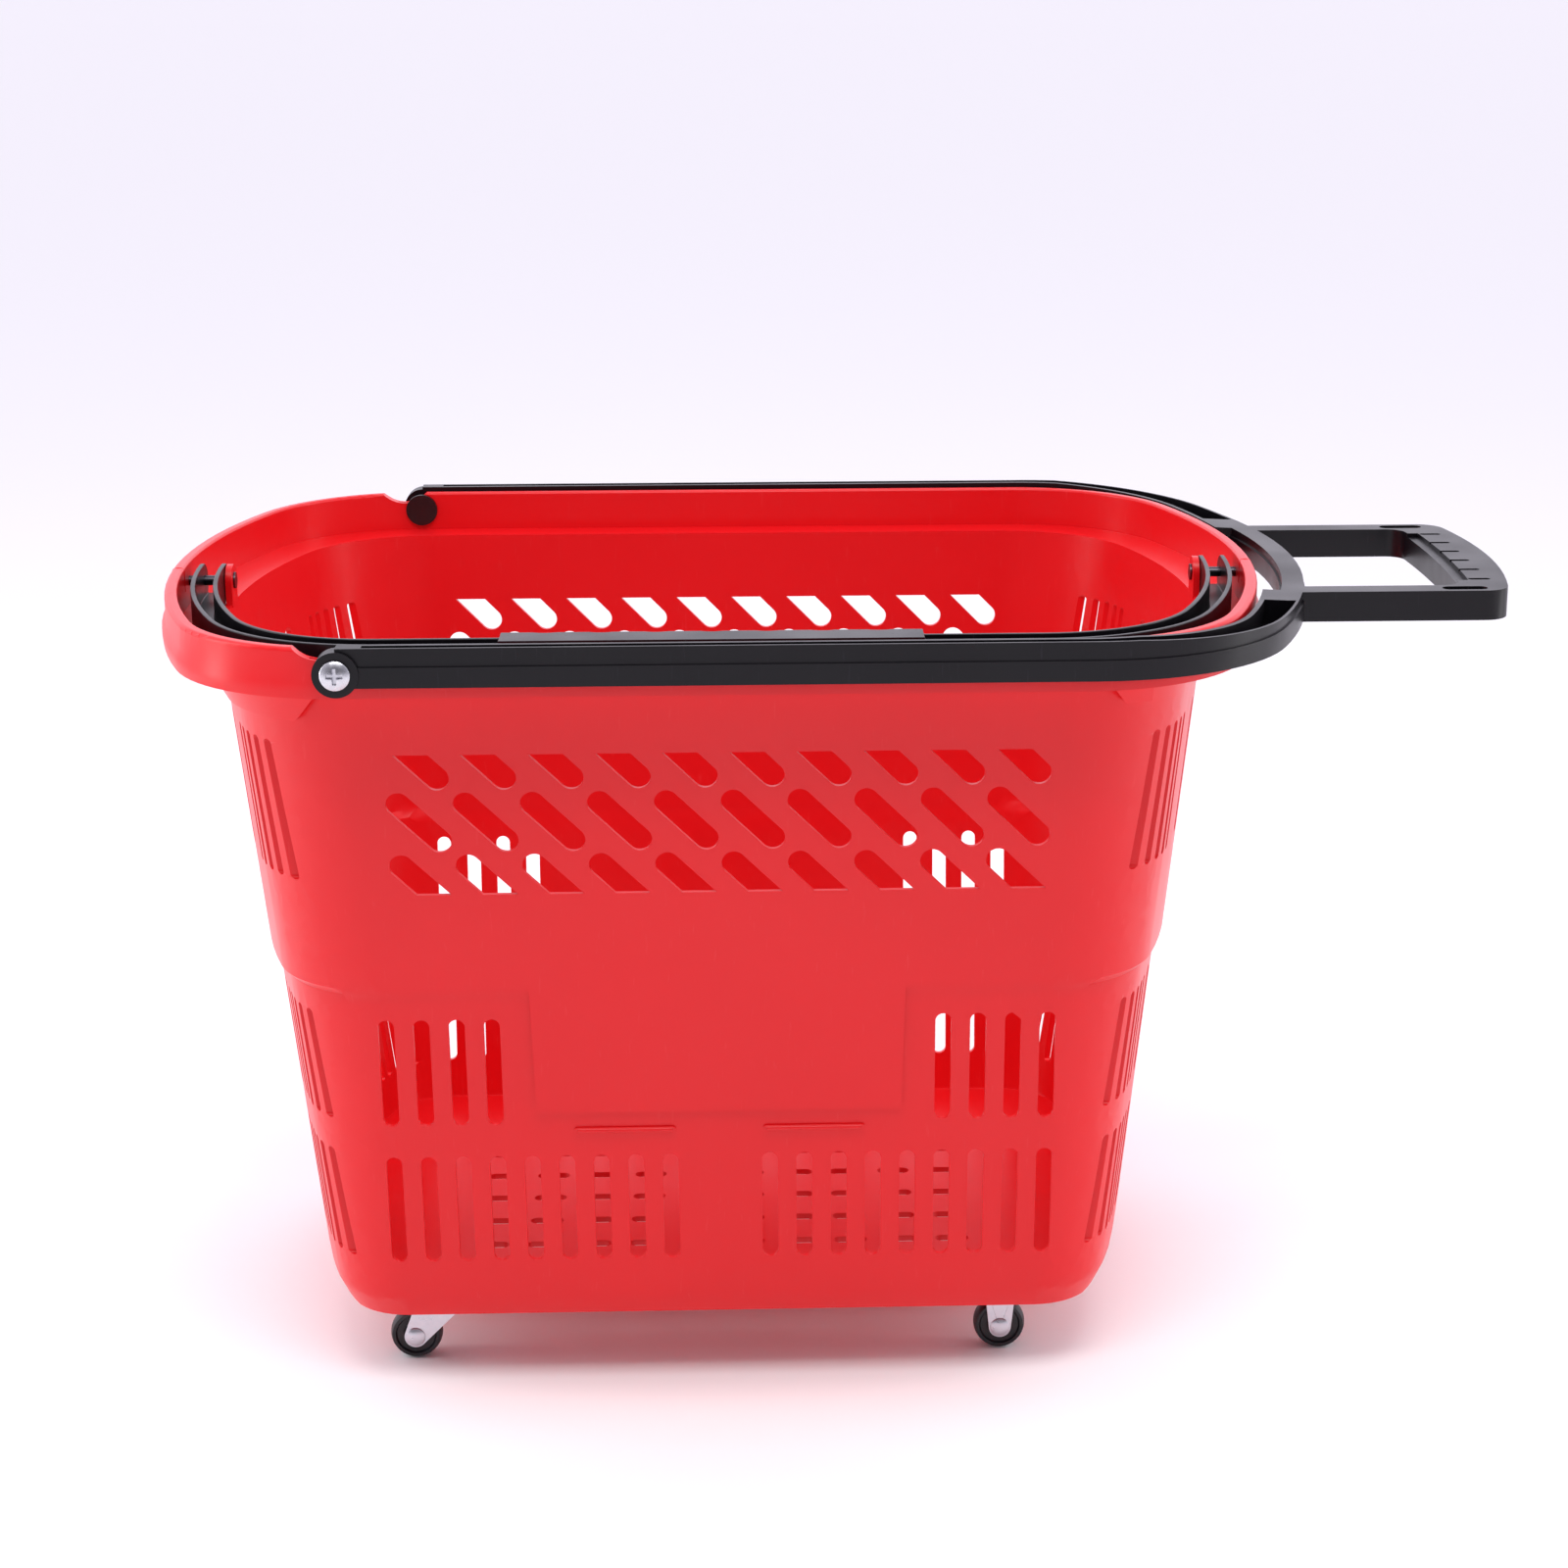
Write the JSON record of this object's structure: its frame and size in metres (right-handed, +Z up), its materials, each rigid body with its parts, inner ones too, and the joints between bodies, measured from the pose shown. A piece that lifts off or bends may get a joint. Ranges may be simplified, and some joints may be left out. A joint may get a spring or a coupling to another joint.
{
  "type": "rolling shopping basket",
  "caption": "Deep slotted plastic shopping basket on small casters, with a long pull handle folding round the rim and a swing-up carry handle lying on the ledge inside it.",
  "frame": {"origin": "centre of the whole object's bounding box, on the floor", "axes": "+X towards the grip of the folded pull handle, +Y across the basket away from the side where the carry handle lies, +Z up"},
  "size_m": [0.6614, 0.405, 0.391],
  "materials": {
    "red_polyethylene": "satin moulded",
    "black_polypropylene": "satin moulded",
    "bush_nylon": "satin moulded",
    "black_wheel": "moulded",
    "zinc_steel": "zinc plated, pressed",
    "screw_steel": "zinc plated",
    "pin_steel": "drawn bar"
  },
  "bodies": {
    "basket": {"basket_tub": "red_polyethylene", "left_carry_pin": "pin_steel", "right_carry_pin": "pin_steel", "front_pivot_bush": "bush_nylon", "front_pivot_screw": "screw_steel", "back_pivot_bush": "bush_nylon", "back_pivot_screw": "screw_steel", "front_swivel_plate": "zinc_steel", "front_swivel_balls": "zinc_steel", "front_swivel_kingpin": "zinc_steel", "front_fixed_bracket": "zinc_steel", "front_fixed_sleeve": "zinc_steel", "front_fixed_axle": "zinc_steel", "back_swivel_plate": "zinc_steel", "back_swivel_balls": "zinc_steel", "back_swivel_kingpin": "zinc_steel", "back_fixed_bracket": "zinc_steel", "back_fixed_sleeve": "zinc_steel", "back_fixed_axle": "zinc_steel", "caster_screws": "screw_steel"},
    "pull_handle": {"pull_handle": "black_polypropylene"},
    "carry_handle": {"carry_handle": "black_polypropylene"},
    "front_swivel": {"front_swivel_fork": "zinc_steel", "front_swivel_sleeve": "zinc_steel", "front_swivel_axle": "zinc_steel"},
    "front_swivel_wheel": {"front_swivel_wheel": "black_wheel"},
    "front_fixed_wheel": {"front_fixed_wheel": "black_wheel"},
    "back_swivel": {"back_swivel_fork": "zinc_steel", "back_swivel_sleeve": "zinc_steel", "back_swivel_axle": "zinc_steel"},
    "back_swivel_wheel": {"back_swivel_wheel": "black_wheel"},
    "back_fixed_wheel": {"back_fixed_wheel": "black_wheel"}
  },
  "joints": [
    {"name": "pull_handle_fold", "type": "hinge", "parent": "basket", "child": "pull_handle", "pos_m": [-0.22525, 0, 0.3795], "axis": [0, -1, 0], "range_deg": [0, 180]},
    {"name": "carry_handle_fold", "type": "hinge", "parent": "basket", "child": "carry_handle", "pos_m": [-0.06025, 0, 0.3797], "axis": [-1, 0, 0], "range_deg": [0, 180]},
    {"name": "front_swivel_turn", "type": "hinge", "parent": "basket", "child": "front_swivel", "pos_m": [-0.19975, -0.0945, 0.037], "axis": [0, 0, 1], "continuous": true},
    {"name": "front_swivel_wheel_spin", "type": "hinge", "parent": "front_swivel", "child": "front_swivel_wheel", "pos_m": [-0.21475, -0.0945, 0.013], "axis": [0, 1, 0], "continuous": true},
    {"name": "front_fixed_wheel_spin", "type": "hinge", "parent": "basket", "child": "front_fixed_wheel", "pos_m": [0.07925, -0.0945, 0.013], "axis": [0, 1, 0], "continuous": true},
    {"name": "back_swivel_turn", "type": "hinge", "parent": "basket", "child": "back_swivel", "pos_m": [-0.19975, 0.0945, 0.037], "axis": [0, 0, 1], "continuous": true},
    {"name": "back_swivel_wheel_spin", "type": "hinge", "parent": "back_swivel", "child": "back_swivel_wheel", "pos_m": [-0.21475, 0.0945, 0.013], "axis": [0, 1, 0], "continuous": true},
    {"name": "back_fixed_wheel_spin", "type": "hinge", "parent": "basket", "child": "back_fixed_wheel", "pos_m": [0.07925, 0.0945, 0.013], "axis": [0, 1, 0], "continuous": true}
  ]
}
